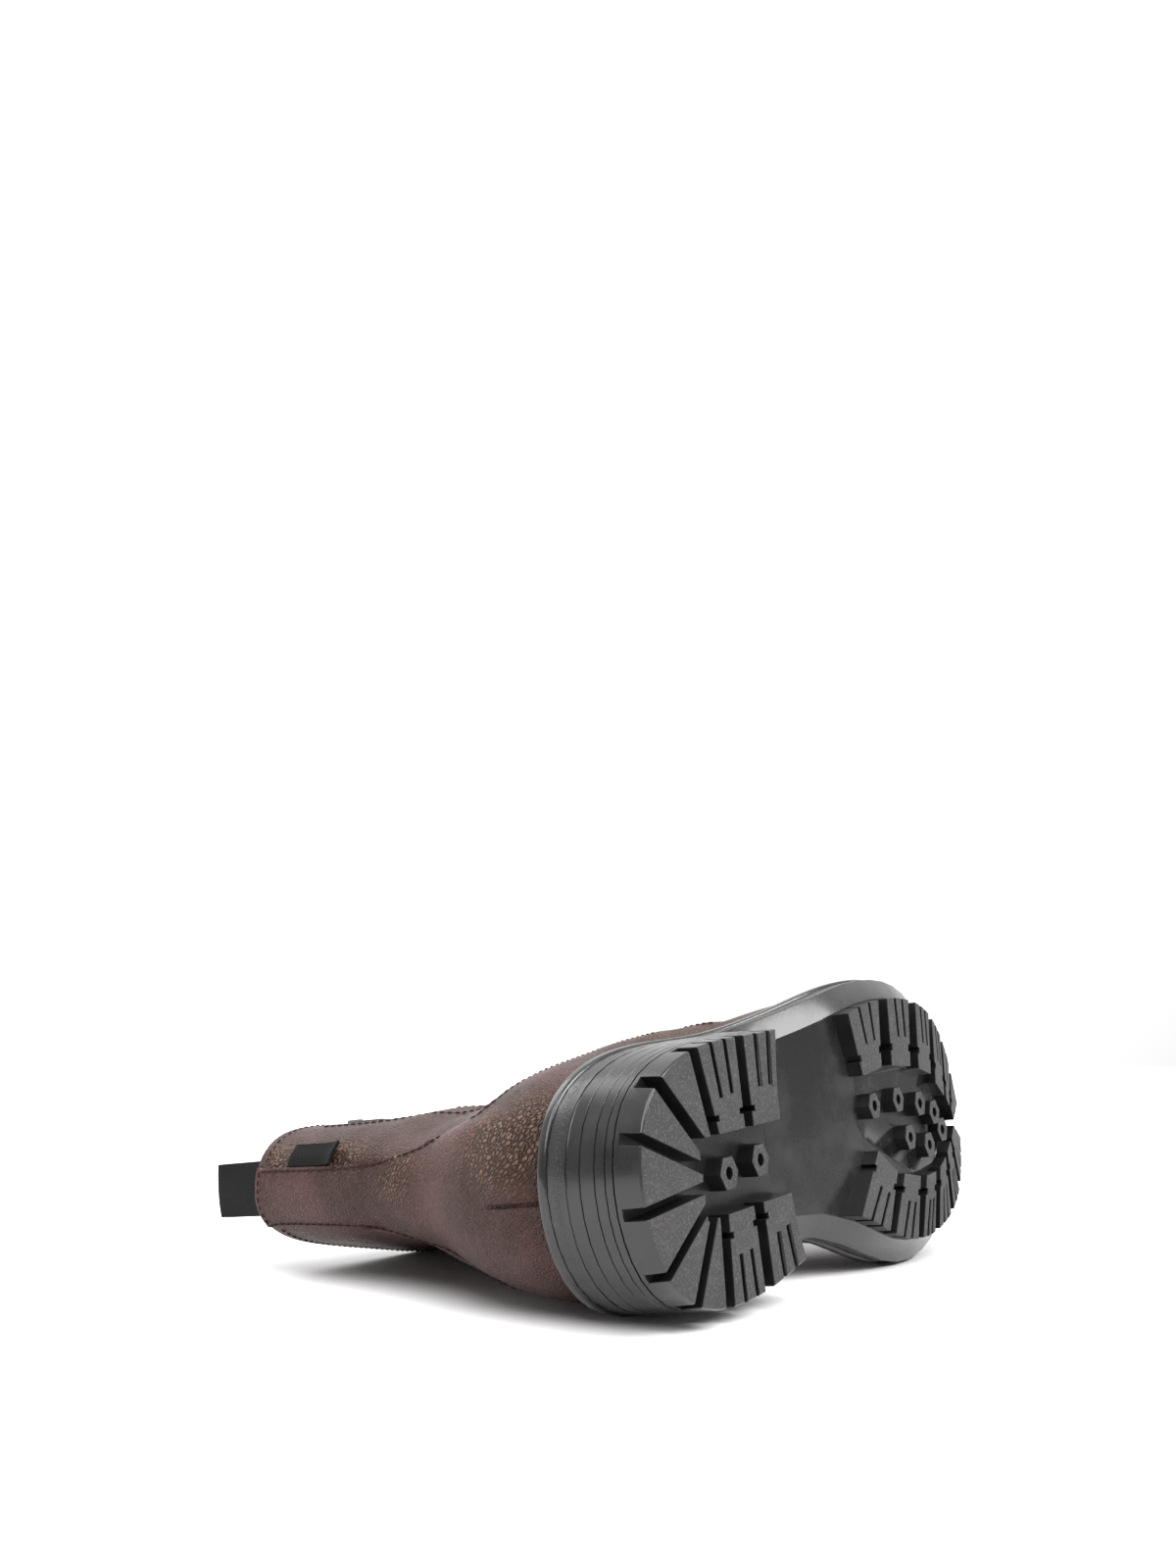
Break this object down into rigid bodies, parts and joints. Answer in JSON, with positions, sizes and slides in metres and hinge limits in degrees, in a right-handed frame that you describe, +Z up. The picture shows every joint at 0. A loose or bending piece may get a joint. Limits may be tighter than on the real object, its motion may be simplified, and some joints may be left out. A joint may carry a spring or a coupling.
{
  "type": "zip boot",
  "caption": "Ankle boot with a side zip, back strip and pull loop on a stacked heel and lugged rubber sole, lying on its side.",
  "frame": {"origin": "on the floor, under the middle of the lying boot's bounding box", "axes": "+X from heel to toe along the boot, +Y from the sole to the collar, +Z up; the boot lies on its medial side with its lateral side up"},
  "size_m": [0.2986, 0.1888, 0.1087],
  "materials": {
    "sole_plate": "satin",
    "heel_block": "satin",
    "heel_lift": "matte",
    "welt": "satin",
    "insole": "matte",
    "upper": "pebbled grain, satin",
    "back_strip": "pebbled grain, satin",
    "side_tab": "woven, matte",
    "pull_loop": "woven, matte",
    "zip_tape": "woven, matte",
    "zip_slider": "dark satin",
    "zip_pull": "dark satin"
  },
  "bodies": {
    "boot": {"sole_plate": "sole_plate", "heel_block": "heel_block", "heel_lift": "heel_lift", "welt": "welt", "insole": "insole", "upper": "upper", "back_strip": "back_strip", "side_tab": "side_tab", "pull_loop": "pull_loop", "zip_tape": "zip_tape", "zip_slider": "zip_slider"},
    "pull": {"zip_pull": "zip_pull"}
  },
  "joints": [
    {"name": "zip_pull_hinge", "type": "hinge", "parent": "boot", "child": "pull", "pos_m": [-0.09671, 0.06666, 0.04949], "axis": [-0.993, 0.0028, 0.1179], "range_deg": [0, 165]}
  ]
}
